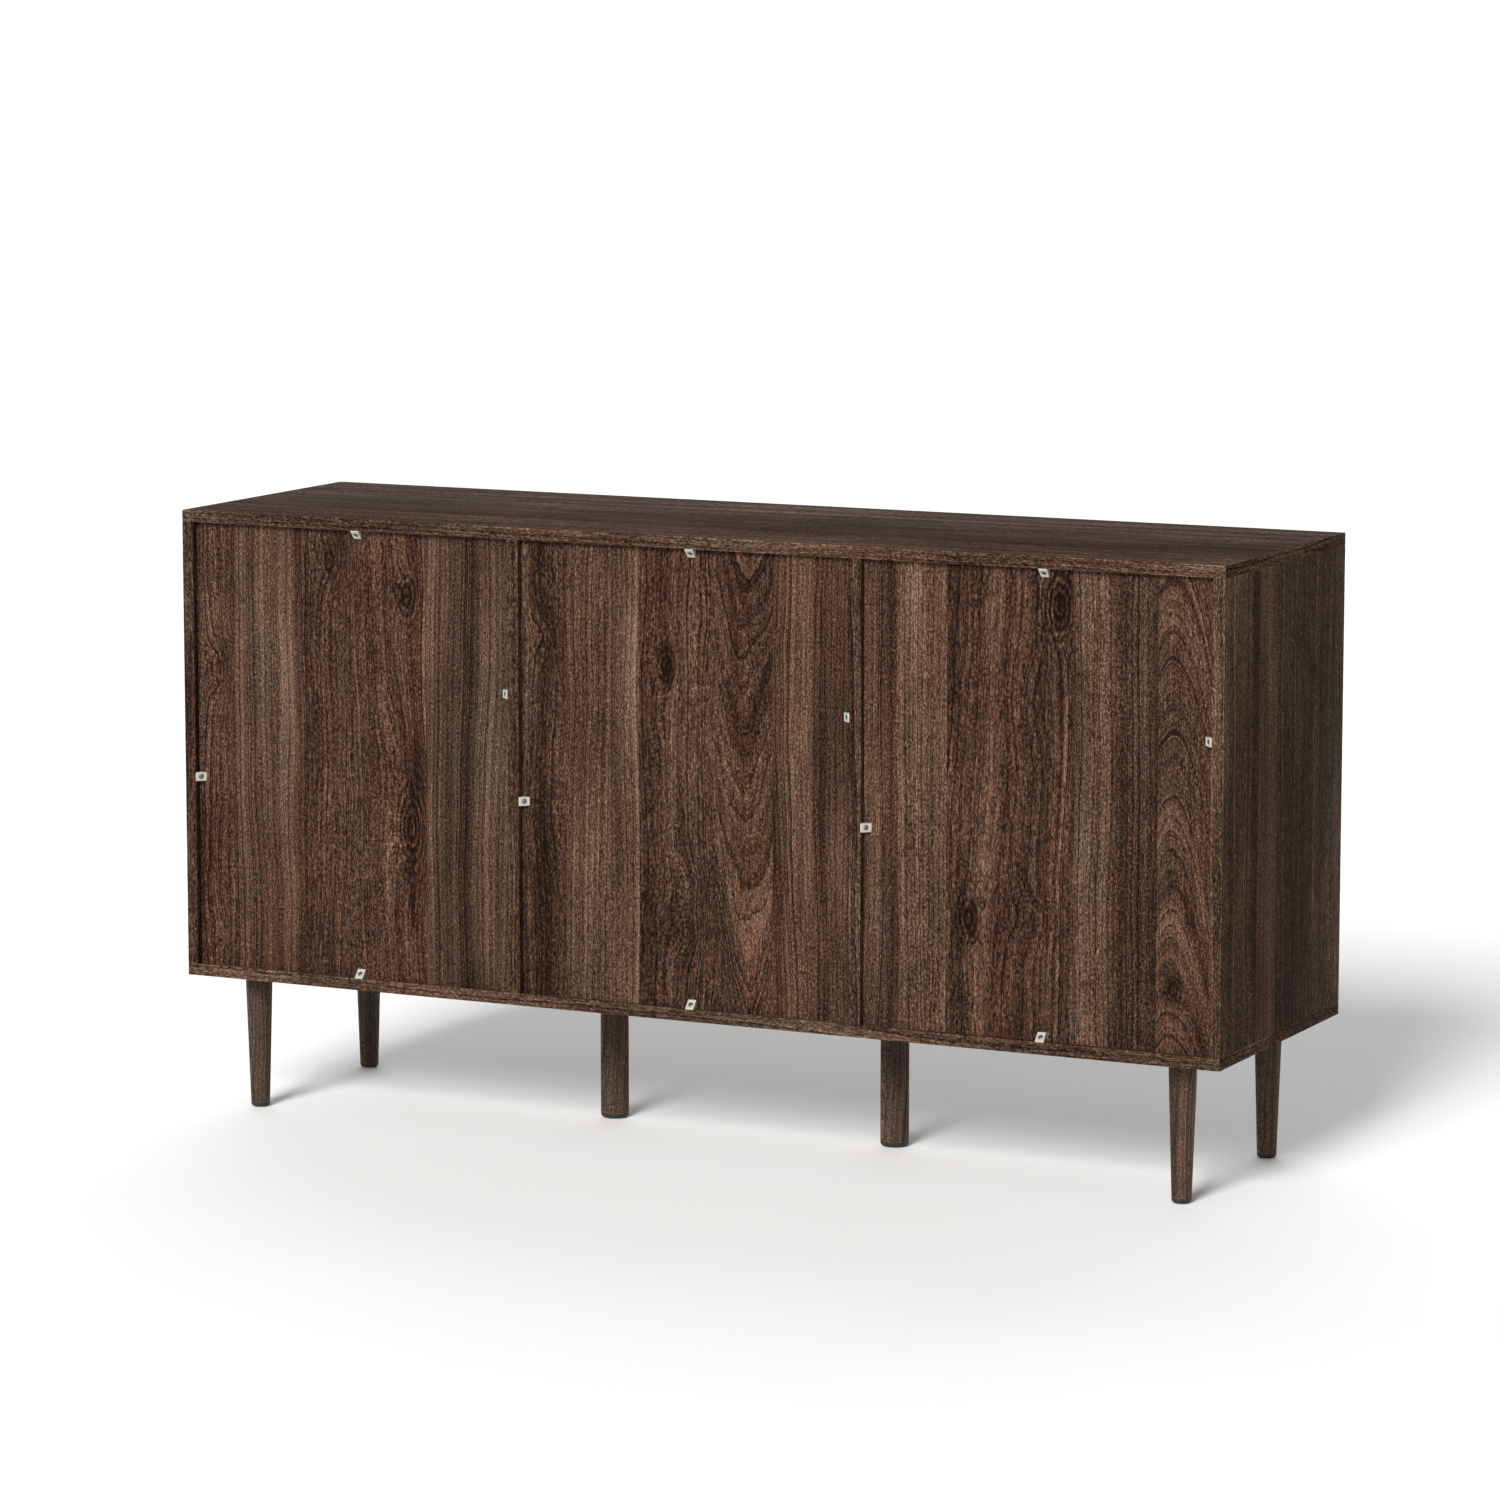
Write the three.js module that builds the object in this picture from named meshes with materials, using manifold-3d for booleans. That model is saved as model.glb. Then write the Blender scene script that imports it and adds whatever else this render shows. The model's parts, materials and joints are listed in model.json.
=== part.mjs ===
// A three-bay sideboard buffet on six legs, in millimetres, +Z up.
// The front, with its doors, faces -Y. Left and right are as seen from the front, so left is -X.
// The origin is on the floor, below the middle of the whole object, knobs included.

import * as THREE from 'three';
import { mergeVertices } from 'three/addons/utils/BufferGeometryUtils.js';
import Module from 'manifold-3d';

// Overall sizes
const overallWidth = 1420;
const carcassDepth = 400; // front edge to rear edge of the boards
const carcassHeight = 600; // underside of the bottom board to the top face
const boardThickness = 15;
const legHeight = 176; // floor to the bottom board, foot cap included

// Gaps
const seatGap = 0.1; // between pieces that are fastened to each other or rest on each other
const doorGap = 2; // round each inset door
const shelfGap = 0.5; // between a shelf's ends and the uprights
const runningGap = 0.3; // between pieces that turn past each other

// Back panels, in grooves of the boards around them
const backThickness = 3;
const backRecess = 10; // rear edge of the boards to the panel's rear face
const grooveDepth = 5;
const grooveClearance = 0.3; // each side of the panel
const grooveEndClearance = 0.5; // panel's edge to the bottom of the groove

// Wedge clips that hold the back panels
const clipReach = 11; // along the panel, away from the board
const clipWidth = 11;
const clipLip = 1.2; // thickness of the wedge's two blunt ends
const clipRecessRadius = 3.4; // room for the screw's head
const clipRecessDepth = 1.6;
const clipShift = -10; // of the top and bottom clips, along X from the middle of the bay
const lowClipHeight = 258; // above the underside of the carcass, on each bay's right wall
const highClipHeight = 391; // the same, on each bay's left wall

// Legs and foot caps
const cornerLegTopRadius = 17.5;
const cornerLegBottomRadius = 12.2;
const middleLegRadius = 18;
const cornerLegSideInset = 70; // leg axis to the end of the carcass
const cornerLegEdgeInset = 59; // leg axis to the front or rear edge
const middleLegInset = 37; // leg axis to the middle of the divider above it, towards the centre
const capHeight = 6;
const capRoundRise = 5;
const cornerCapRound = 4;
const middleCapRound = 5;

// Shelves
const shelfSetback = 25; // back of the door to the front of the shelf
const shelfRearGap = 2;
const shelfHeight = 300; // underside of the carcass to the middle of the shelf

// Knobs
const knobReach = 22; // in front of the door's face
const knobEdgeInset = 40; // knob axis to the door's free edge
const knobHeight = 380; // above the underside of the carcass
const knobBaseRadius = 8;
const knobBaseThickness = 2;
const knobNeckRadius = 5;
const knobHeadRadius = 14;
const knobHeadThickness = 8;

// Butt hinges, two per door, with a lug that stops the door
const hingeHeight = 50;
const hingeEndInset = 70; // middle of the hinge to the door's top or bottom edge
const leafReach = 12; // onto the door's edge, from its front face
const leafThickness = 0.8;
const knuckleRadius = 3;
const pinRadius = 1.5;
const knuckleCount = 5; // the first and every second one after it are on the frame leaf
const openAngle = 105; // degrees, where the lug meets the door's face
const lugLength = 3.2;
const lugThickness = 1.6;

// Magnetic catches and their strike plates
const catchWidth = 26;
const catchFlangeWidth = 46;
const catchFlangeThickness = 2.5;
const catchHeight = 13;
const catchDepth = 14;
const catchInset = 60; // middle of the catch to the upright beside the door's free edge
const strikeWidth = 34;
const strikeHeight = 11;
const strikeThickness = 1.2;
const strikeDrop = 1; // door's top edge to the strike plate
const catchGap = 0.4; // strike plate to catch

// Facets
const legFacets = 28;
const knobFacets = 20;
const hingeFacets = 16;
const recessFacets = 12;
const arcSteps = 3;

// Worked out from the sizes above
const carcassRear = (carcassDepth + knobReach) / 2;
const carcassFront = carcassRear - carcassDepth;
const carcassTop = legHeight + carcassHeight;
const bayFloor = legHeight + boardThickness;
const bayCeiling = carcassTop - boardThickness;
const bayHeight = bayCeiling - bayFloor;
const bayMiddleHeight = (bayFloor + bayCeiling) / 2;
const bayWidth = (overallWidth - 4 * boardThickness) / 3;
const bayPitch = bayWidth + boardThickness;
const carcassMiddleY = (carcassFront + carcassRear) / 2;
const backRearFace = carcassRear - backRecess;
const backFrontFace = backRearFace - backThickness;
const doorWidth = bayWidth - 2 * doorGap;
const doorHeight = bayHeight - 2 * doorGap;
const doorBack = carcassFront + boardThickness;
const bays = [
  { name: 'left', x: -bayPitch, hingeSide: -1 },
  { name: 'middle', x: 0, hingeSide: -1 },
  { name: 'right', x: bayPitch, hingeSide: 1 },
];

const wasm = await Module();
wasm.setup();

const sideboard = new THREE.Group();

// Materials

function walnut() {
  return new THREE.MeshStandardMaterial({ color: 0x5a4336, roughness: 0.6, metalness: 0 });
}

function paleSteel() {
  return new THREE.MeshStandardMaterial({ color: 0x9b9a96, roughness: 0.35, metalness: 1 });
}

function blackMetal() {
  return new THREE.MeshStandardMaterial({ color: 0x1b1a19, roughness: 0.45, metalness: 0.8 });
}

function blackPlastic() {
  return new THREE.MeshStandardMaterial({ color: 0x161616, roughness: 0.7, metalness: 0 });
}

function palePlastic() {
  return new THREE.MeshStandardMaterial({ color: 0xc9c8c0, roughness: 0.5, metalness: 0 });
}

// Geometry helpers

function addMesh(name, geometry, material, x, y, z, parent = sideboard) {
  const mesh = new THREE.Mesh(geometry, material);
  mesh.name = name;
  mesh.position.set(x, y, z);
  parent.add(mesh);
  return mesh;
}

function block(x0, x1, y0, y1, z0, z1) {
  const geometry = new THREE.BoxGeometry(x1 - x0, y1 - y0, z1 - z0);
  geometry.translate((x0 + x1) / 2, (y0 + y1) / 2, (z0 + z1) / 2);
  return geometry;
}

// A turned piece: outline is a path of (radius, height) from the axis back to the axis.
function turned(outline, facets) {
  return new THREE.LatheGeometry(outline.getPoints(arcSteps), facets);
}

function uprightCylinder(radius, length, facets) {
  const geometry = new THREE.CylinderGeometry(radius, radius, length, facets);
  geometry.rotateX(Math.PI / 2);
  return geometry;
}

function toSolid(geometry) {
  const bare = geometry.clone();
  bare.deleteAttribute('normal');
  bare.deleteAttribute('uv');
  const merged = mergeVertices(bare);
  const vertProperties = Float32Array.from(merged.attributes.position.array);
  const triVerts = Uint32Array.from(merged.index.array);
  return new wasm.Manifold(new wasm.Mesh({ numProp: 3, vertProperties, triVerts }));
}

function toGeometry(solid) {
  const mesh = solid.getMesh();
  const geometry = new THREE.BufferGeometry();
  geometry.setAttribute('position', new THREE.BufferAttribute(mesh.vertProperties, 3));
  geometry.setIndex(new THREE.BufferAttribute(mesh.triVerts, 1));
  geometry.computeVertexNormals();
  return geometry;
}

function cut(geometry, cutters) {
  let solid = toSolid(geometry);
  for (const cutter of cutters) {
    solid = solid.subtract(toSolid(cutter));
  }
  return toGeometry(solid);
}

function join(geometries) {
  let solid = toSolid(geometries[0]);
  for (const geometry of geometries.slice(1)) {
    solid = solid.add(toSolid(geometry));
  }
  return toGeometry(solid);
}

// Carcass boards, with a stopped groove for each back panel

const grooveFront = backFrontFace - grooveClearance - carcassMiddleY;
const grooveRear = backRearFace + grooveClearance - carcassMiddleY;
const overcut = 1; // how far a cutter stands past the face that it opens

function addHorizontalBoard(name, z, openSide) {
  const half = boardThickness / 2;
  const board = new THREE.BoxGeometry(overallWidth, carcassDepth, boardThickness);
  const grooves = bays.map((bay) => {
    const halfLength = bayWidth / 2 + grooveDepth;
    const face = openSide * half;
    const low = Math.min(face - openSide * grooveDepth, face + openSide * overcut);
    const high = Math.max(face - openSide * grooveDepth, face + openSide * overcut);
    return block(bay.x - halfLength, bay.x + halfLength, grooveFront, grooveRear, low, high);
  });
  addMesh(name, cut(board, grooves), walnut(), 0, carcassMiddleY, z);
}

// grooveSides lists -1 for a groove in the left face and 1 for one in the right face.
function addUpright(name, x, grooveSides) {
  const half = boardThickness / 2;
  const height = bayHeight - 2 * seatGap;
  const board = new THREE.BoxGeometry(boardThickness, carcassDepth, height);
  const reach = height / 2 + overcut;
  const grooves = grooveSides.map((side) => {
    const face = side * half;
    const low = Math.min(face - side * grooveDepth, face + side * overcut);
    const high = Math.max(face - side * grooveDepth, face + side * overcut);
    return block(low, high, grooveFront, grooveRear, -reach, reach);
  });
  addMesh(name, cut(board, grooves), walnut(), x, carcassMiddleY, bayMiddleHeight);
}

function addCarcass() {
  addHorizontalBoard('top_board', carcassTop - boardThickness / 2, -1);
  addHorizontalBoard('bottom_board', legHeight + boardThickness / 2, 1);
  addUpright('side_panel_left', -1.5 * bayPitch, [1]);
  addUpright('divider_left', -0.5 * bayPitch, [-1, 1]);
  addUpright('divider_right', 0.5 * bayPitch, [-1, 1]);
  addUpright('side_panel_right', 1.5 * bayPitch, [-1]);
}

// Back panels

function addBackPanel(bay) {
  const intoGroove = grooveDepth - grooveEndClearance;
  const width = bayWidth + 2 * intoGroove;
  const height = bayHeight + 2 * intoGroove;
  const panel = new THREE.BoxGeometry(width, backThickness, height);
  const y = (backFrontFace + backRearFace) / 2;
  addMesh(`back_panel_${bay.name}`, panel, walnut(), bay.x, y, bayMiddleHeight);
}

// Wedge clips. In a clip's own frame the board's face is X = 0 and the panel's face is Y = 0.

function clipGeometry() {
  const depth = backRecess - seatGap;
  const outline = new THREE.Shape();
  outline.moveTo(0, 0);
  outline.lineTo(clipReach, 0);
  outline.lineTo(clipReach, clipLip);
  outline.lineTo(clipLip, depth);
  outline.lineTo(0, depth);
  outline.closePath();
  const wedge = new THREE.ExtrudeGeometry(outline, { depth: clipWidth, bevelEnabled: false });
  wedge.translate(0, 0, -clipWidth / 2);
  const slope = new THREE.Vector2(clipReach - clipLip, clipLip - depth).normalize();
  const outward = new THREE.Vector2(-slope.y, slope.x);
  const middle = new THREE.Vector2(clipReach + clipLip, clipLip + depth).multiplyScalar(0.5);
  const recess = new THREE.CylinderGeometry(
    clipRecessRadius, clipRecessRadius, 2 * clipRecessDepth, recessFacets);
  recess.rotateZ(Math.atan2(outward.y, outward.x) - Math.PI / 2);
  recess.translate(middle.x, middle.y, 0);
  return cut(wedge, [recess]);
}

// turn is the angle about Y that takes the clip's X axis to the way it points from its board.
function addClip(name, geometry, x, z, turn) {
  const seat = new THREE.Group();
  seat.position.set(x, backRearFace + seatGap, z);
  seat.rotation.y = turn;
  sideboard.add(seat);
  addMesh(name, geometry, palePlastic(), seatGap, 0, 0, seat);
}

function addClips(bay) {
  const shape = clipGeometry();
  const right = bay.x + bayWidth / 2;
  const left = bay.x - bayWidth / 2;
  addClip(`back_clip_${bay.name}_top`, shape, bay.x + clipShift, bayCeiling, Math.PI / 2);
  addClip(`back_clip_${bay.name}_bottom`, shape, bay.x + clipShift, bayFloor, -Math.PI / 2);
  addClip(`back_clip_${bay.name}_low`, shape, right, legHeight + lowClipHeight, Math.PI);
  addClip(`back_clip_${bay.name}_high`, shape, left, legHeight + highClipHeight, 0);
}

// Legs, each with a foot cap

function legGeometry(bottomRadius, topRadius) {
  const outline = new THREE.Path();
  outline.moveTo(0, 0);
  outline.lineTo(bottomRadius, 0);
  outline.lineTo(topRadius, legHeight - capHeight - 2 * seatGap);
  outline.lineTo(0, legHeight - capHeight - 2 * seatGap);
  const geometry = turned(outline, legFacets);
  geometry.rotateX(Math.PI / 2);
  return geometry;
}

function capGeometry(radius, round) {
  const outline = new THREE.Path();
  outline.moveTo(0, 0);
  outline.lineTo(radius - round, 0);
  outline.quadraticCurveTo(radius, 0, radius, capRoundRise);
  outline.lineTo(radius, capHeight);
  outline.lineTo(0, capHeight);
  const geometry = turned(outline, legFacets);
  geometry.rotateX(Math.PI / 2);
  return geometry;
}

function addLeg(name, x, y, bottomRadius, topRadius, round) {
  const leg = legGeometry(bottomRadius, topRadius);
  addMesh(`leg_${name}`, leg, walnut(), x, y, capHeight + seatGap);
  addMesh(`foot_cap_${name}`, capGeometry(bottomRadius, round), blackPlastic(), x, y, 0);
}

function addLegs() {
  for (const [side, word] of [[-1, 'left'], [1, 'right']]) {
    const cornerX = side * (overallWidth / 2 - cornerLegSideInset);
    for (const [end, place] of [[-1, 'front'], [1, 'rear']]) {
      const y = carcassMiddleY + end * (carcassDepth / 2 - cornerLegEdgeInset);
      addLeg(`${place}_${word}`, cornerX, y, cornerLegBottomRadius, cornerLegTopRadius, cornerCapRound);
    }
    const middleX = side * (bayPitch / 2 - middleLegInset);
    addLeg(`middle_${word}`, middleX, carcassMiddleY, middleLegRadius, middleLegRadius, middleCapRound);
  }
}

// Shelves

function addShelf(bay) {
  const front = doorBack + shelfSetback;
  const rear = backFrontFace - shelfRearGap;
  const shelf = new THREE.BoxGeometry(bayWidth - 2 * shelfGap, rear - front, boardThickness);
  const y = (front + rear) / 2;
  addMesh(`shelf_${bay.name}`, shelf, walnut(), bay.x, y, legHeight + shelfHeight);
}

// Doors and knobs

function addDoor(bay) {
  const door = new THREE.BoxGeometry(doorWidth, boardThickness, doorHeight);
  const y = (carcassFront + doorBack) / 2;
  addMesh(`door_${bay.name}`, door, walnut(), bay.x, y, bayMiddleHeight);
}

function knobGeometry() {
  const length = knobReach - seatGap;
  const headStart = length - knobHeadThickness;
  const headMiddle = length - knobHeadThickness / 2;
  const neckEnd = (knobBaseThickness + headStart) / 2;
  const outline = new THREE.Path();
  outline.moveTo(0, 0);
  outline.lineTo(knobBaseRadius, 0);
  outline.lineTo(knobBaseRadius, knobBaseThickness);
  outline.quadraticCurveTo(knobNeckRadius, knobBaseThickness, knobNeckRadius, neckEnd);
  outline.quadraticCurveTo(knobNeckRadius, headStart, knobHeadRadius, headMiddle);
  outline.quadraticCurveTo(knobHeadRadius, length, 0, length);
  return turned(outline, knobFacets);
}

function addKnob(bay) {
  const freeSide = -bay.hingeSide;
  const x = bay.x + freeSide * (doorWidth / 2 - knobEdgeInset);
  const knob = addMesh(
    `knob_${bay.name}`, knobGeometry(), blackMetal(), x, carcassFront - seatGap, legHeight + knobHeight);
  knob.rotation.x = Math.PI;
}

// Hinges. In a hinge's own frame the Z axis is the pin, +X points from the upright into the bay,
// for a door hinged on its left, and +Y points into the cabinet.

const axisToUpright = doorGap / 2;
const axisToFace = knuckleRadius + runningGap;
const knuckleLength = (hingeHeight - (knuckleCount - 1) * runningGap) / knuckleCount;

function knuckleMiddle(index) {
  return -hingeHeight / 2 + knuckleLength / 2 + index * (knuckleLength + runningGap);
}

function everySecondKnuckle(first) {
  const indexes = [];
  for (let index = first; index < knuckleCount; index += 2) {
    indexes.push(index);
  }
  return indexes;
}

// The leaf is a plate with a tab to each of its knuckles. side is -1 on the upright, 1 on the door.
function leafPieces(side, indexes) {
  const outer = side * (axisToUpright - seatGap);
  const inner = side * (axisToUpright - seatGap - leafThickness);
  const low = Math.min(outer, inner);
  const high = Math.max(outer, inner);
  const half = hingeHeight / 2;
  const plateStart = knuckleRadius + runningGap;
  const pieces = [block(low, high, plateStart, axisToFace + leafReach, -half, half)];
  for (const index of indexes) {
    const z = knuckleMiddle(index);
    const tabHalf = knuckleLength / 2;
    pieces.push(block(low, high, 0, plateStart + overcut, z - tabHalf, z + tabHalf));
    const knuckle = uprightCylinder(knuckleRadius, knuckleLength, hingeFacets);
    knuckle.translate(0, 0, z);
    pieces.push(knuckle);
  }
  return pieces;
}

// The lug is set square to the open door's face, which comes to rest against it.
// It stands on the knuckle whose middle is at height z.
function stopLug(z) {
  const nearFace = axisToFace - runningGap;
  const half = knuckleLength / 2;
  const lug = block(0, lugLength, nearFace - lugThickness, nearFace, -half, half);
  lug.rotateZ(-THREE.MathUtils.degToRad(openAngle));
  lug.translate(0, 0, z);
  return lug;
}

function frameLeafGeometry() {
  const knuckles = everySecondKnuckle(0);
  const lugKnuckle = knuckles[Math.floor(knuckles.length / 2)];
  const pin = uprightCylinder(pinRadius, hingeHeight, hingeFacets);
  return join([...leafPieces(-1, knuckles), pin, stopLug(knuckleMiddle(lugKnuckle))]);
}

function doorLeafGeometry() {
  const bore = uprightCylinder(pinRadius + runningGap, hingeHeight + 2 * overcut, hingeFacets);
  return cut(join(leafPieces(1, everySecondKnuckle(1))), [bore]);
}

function addHinges(bay) {
  const x = bay.x + bay.hingeSide * (bayWidth / 2 - axisToUpright);
  const y = carcassFront - axisToFace;
  const places = [
    ['lower', bayFloor + doorGap + hingeEndInset],
    ['upper', bayCeiling - doorGap - hingeEndInset],
  ];
  const frameLeaf = frameLeafGeometry();
  const doorLeaf = doorLeafGeometry();
  for (const [level, z] of places) {
    const name = `hinge_${bay.name}_${level}`;
    const hinge = new THREE.Group();
    hinge.position.set(x, y, z);
    hinge.scale.x = -bay.hingeSide; // a hinge on the right is the mirror image of one on the left
    sideboard.add(hinge);
    addMesh(`${name}_frame_leaf`, frameLeaf, paleSteel(), 0, 0, 0, hinge);
    addMesh(`${name}_door_leaf`, doorLeaf, paleSteel(), 0, 0, 0, hinge);
  }
}

// Catches, under the top board behind each door's free edge, and strikes on the doors

function addCatch(bay) {
  const freeSide = -bay.hingeSide;
  const x = bay.x + freeSide * (bayWidth / 2 - catchInset);
  const outline = new THREE.Shape();
  outline.moveTo(-catchFlangeWidth / 2, 0);
  outline.lineTo(-catchFlangeWidth / 2, -catchFlangeThickness);
  outline.lineTo(-catchWidth / 2, -catchFlangeThickness);
  outline.lineTo(-catchWidth / 2, -catchHeight);
  outline.lineTo(catchWidth / 2, -catchHeight);
  outline.lineTo(catchWidth / 2, -catchFlangeThickness);
  outline.lineTo(catchFlangeWidth / 2, -catchFlangeThickness);
  outline.lineTo(catchFlangeWidth / 2, 0);
  outline.closePath();
  const body = new THREE.ExtrudeGeometry(outline, { depth: catchDepth, bevelEnabled: false });
  body.rotateX(Math.PI / 2);
  const frontFace = doorBack + seatGap + strikeThickness + catchGap;
  addMesh(`catch_${bay.name}`, body, blackPlastic(), x, frontFace + catchDepth, bayCeiling - seatGap);
  const strike = new THREE.BoxGeometry(strikeWidth, strikeThickness, strikeHeight);
  const strikeY = doorBack + seatGap + strikeThickness / 2;
  const strikeZ = bayCeiling - doorGap - strikeDrop - strikeHeight / 2;
  addMesh(`strike_${bay.name}`, strike, paleSteel(), x, strikeY, strikeZ);
}

addCarcass();
addLegs();
for (const bay of bays) {
  addBackPanel(bay);
  addClips(bay);
  addShelf(bay);
  addDoor(bay);
  addKnob(bay);
  addHinges(bay);
  addCatch(bay);
}

export default sideboard;
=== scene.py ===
"""Looks of the three-bay sideboard: walnut laminate, plastic, metal, fittings, floor, light and camera.

Metres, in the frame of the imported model: +Z up, doors towards -Y, left is -X.
"""

import json
import math

import bmesh
import bpy
from mathutils import Matrix, Vector


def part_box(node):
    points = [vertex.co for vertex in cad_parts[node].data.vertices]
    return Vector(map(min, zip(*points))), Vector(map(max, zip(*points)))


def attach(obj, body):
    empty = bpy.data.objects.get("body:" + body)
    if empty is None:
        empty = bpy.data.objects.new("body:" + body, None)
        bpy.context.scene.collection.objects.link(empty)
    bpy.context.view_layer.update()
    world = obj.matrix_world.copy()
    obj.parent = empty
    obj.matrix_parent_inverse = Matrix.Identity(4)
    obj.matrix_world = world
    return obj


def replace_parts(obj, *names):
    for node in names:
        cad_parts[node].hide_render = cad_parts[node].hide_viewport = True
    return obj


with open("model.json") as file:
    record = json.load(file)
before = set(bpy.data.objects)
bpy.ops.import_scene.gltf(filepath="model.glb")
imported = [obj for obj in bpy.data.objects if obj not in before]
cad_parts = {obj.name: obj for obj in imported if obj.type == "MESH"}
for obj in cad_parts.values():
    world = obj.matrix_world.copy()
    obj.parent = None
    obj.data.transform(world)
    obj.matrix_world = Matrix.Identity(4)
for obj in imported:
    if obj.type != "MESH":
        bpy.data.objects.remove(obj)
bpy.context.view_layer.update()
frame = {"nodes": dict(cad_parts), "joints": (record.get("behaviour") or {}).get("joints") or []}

BAYS = ("left", "middle", "right")
HINGE_SIDE = {"left": -1, "middle": -1, "right": 1}
HINGE_LINE = {joint["child"].removeprefix("door_"): joint["pos_m"][0] for joint in frame["joints"]}
UP = Vector((0, 0, 1))


# Camera, floor and light

CAMERA_PLACE = Vector((-3.1712, 6.489, 1.5499))
CAMERA_YAW = 0.4558
CAMERA_PITCH = 0.1463
CAMERA_LENS = 139.46
FLOOR_RADIUS = 160.0
SKY_FADE = (0.08, 0.12)  # height of the view direction where the pale wall ends and the ceiling begins
SKY_LOW = 1.0  # strength of the white wall that the camera sees
SKY_HIGH = 0.3  # strength of the ceiling


def add_camera():
    data = bpy.data.cameras.new("camera")
    data.lens = CAMERA_LENS
    data.sensor_width = 36.0
    data.clip_end = 400.0
    camera = bpy.data.objects.new("camera", data)
    bpy.context.scene.collection.objects.link(camera)
    forward = Vector((
        math.sin(CAMERA_YAW) * math.cos(CAMERA_PITCH),
        -math.cos(CAMERA_YAW) * math.cos(CAMERA_PITCH),
        -math.sin(CAMERA_PITCH),
    ))
    camera.location = CAMERA_PLACE
    camera.rotation_euler = forward.to_track_quat("-Z", "Y").to_euler()
    bpy.context.scene.camera = camera


def add_sun(name, towards, strength, spread, colour):
    data = bpy.data.lights.new(name, "SUN")
    data.energy = strength
    data.angle = math.radians(spread)
    data.color = colour
    sun = bpy.data.objects.new(name, data)
    sun.rotation_euler = Vector(towards).to_track_quat("Z", "Y").to_euler()
    bpy.context.scene.collection.objects.link(sun)


def add_light():
    world = bpy.data.worlds.new("studio")
    bpy.context.scene.world = world
    world.use_nodes = True
    tree = world.node_tree
    place = tree.nodes.new("ShaderNodeTexCoord")
    height = axes_of(tree, place.outputs["Generated"])[2]
    level = spread(tree, height, *SKY_FADE, SKY_LOW, SKY_HIGH, smooth=True)
    plug(tree, tree.nodes["Background"].inputs["Strength"], level)
    tree.nodes["Background"].inputs["Color"].default_value = (1.0, 1.0, 1.0, 1.0)
    add_sun("key", (-0.02, 0.85, 0.52), 4.4, 22.0, (1.0, 0.985, 0.965))
    add_sun("front_fill", (0.35, -0.75, 0.45), 1.7, 60.0, (1.0, 1.0, 1.0))
    view = bpy.context.scene.view_settings
    view.view_transform = "Standard"
    view.look = "None"


# Node helpers

class Flow:
    """A socket of a node tree. Arithmetic on it adds Math nodes to the tree."""

    def __init__(self, tree, socket):
        self.tree = tree
        self.socket = socket

    def calc(self, operation, *others, clamp=False):
        return calc(self.tree, operation, self, *others, clamp=clamp)

    def __add__(self, other):
        return self.calc("ADD", other)

    def __sub__(self, other):
        return self.calc("SUBTRACT", other)

    def __mul__(self, other):
        return self.calc("MULTIPLY", other)

    def __neg__(self):
        return self.calc("MULTIPLY", -1.0)


def plug(tree, socket, value):
    """Links a Flow to an input socket, or sets the socket to a plain value."""
    if isinstance(value, Flow):
        tree.links.new(value.socket, socket)
    elif value is not None:
        socket.default_value = value


def calc(tree, operation, *values, clamp=False):
    node = tree.nodes.new("ShaderNodeMath")
    node.operation = operation
    node.use_clamp = clamp
    for socket, value in zip(node.inputs, values):
        plug(tree, socket, value)
    return Flow(tree, node.outputs[0])


def vector(tree, x, y, z):
    node = tree.nodes.new("ShaderNodeCombineXYZ")
    for socket, value in zip(node.inputs, (x, y, z)):
        plug(tree, socket, value)
    return Flow(tree, node.outputs[0])


def noise(tree, point, scale=1.0, detail=2.0, roughness=0.5, distortion=0.0):
    node = tree.nodes.new("ShaderNodeTexNoise")
    plug(tree, node.inputs["Vector"], point)
    node.inputs["Scale"].default_value = scale
    node.inputs["Detail"].default_value = detail
    node.inputs["Roughness"].default_value = roughness
    node.inputs["Distortion"].default_value = distortion
    return Flow(tree, node.outputs["Fac"])


def line_noise(tree, position, detail=2.0, roughness=0.5):
    node = tree.nodes.new("ShaderNodeTexNoise")
    node.noise_dimensions = "1D"
    plug(tree, node.inputs["W"], position)
    node.inputs["Scale"].default_value = 1.0
    node.inputs["Detail"].default_value = detail
    node.inputs["Roughness"].default_value = roughness
    return Flow(tree, node.outputs["Fac"])


def spread(tree, value, low, high, to_low=0.0, to_high=1.0, smooth=False):
    node = tree.nodes.new("ShaderNodeMapRange")
    node.interpolation_type = "SMOOTHSTEP" if smooth else "LINEAR"
    for key, setting in (("Value", value), ("From Min", low), ("From Max", high),
                         ("To Min", to_low), ("To Max", to_high)):
        plug(tree, node.inputs[key], setting)
    return Flow(tree, node.outputs["Result"])


def blend_colour(tree, factor, first, second, mode="MIX"):
    node = tree.nodes.new("ShaderNodeMix")
    node.data_type = "RGBA"
    node.blend_type = mode
    plug(tree, node.inputs[0], factor)
    plug(tree, node.inputs[6], first)
    plug(tree, node.inputs[7], second)
    return Flow(tree, node.outputs[2])


def blend_number(tree, factor, first, second):
    node = tree.nodes.new("ShaderNodeMix")
    plug(tree, node.inputs[0], factor)
    plug(tree, node.inputs[2], first)
    plug(tree, node.inputs[3], second)
    return Flow(tree, node.outputs[0])


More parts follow.
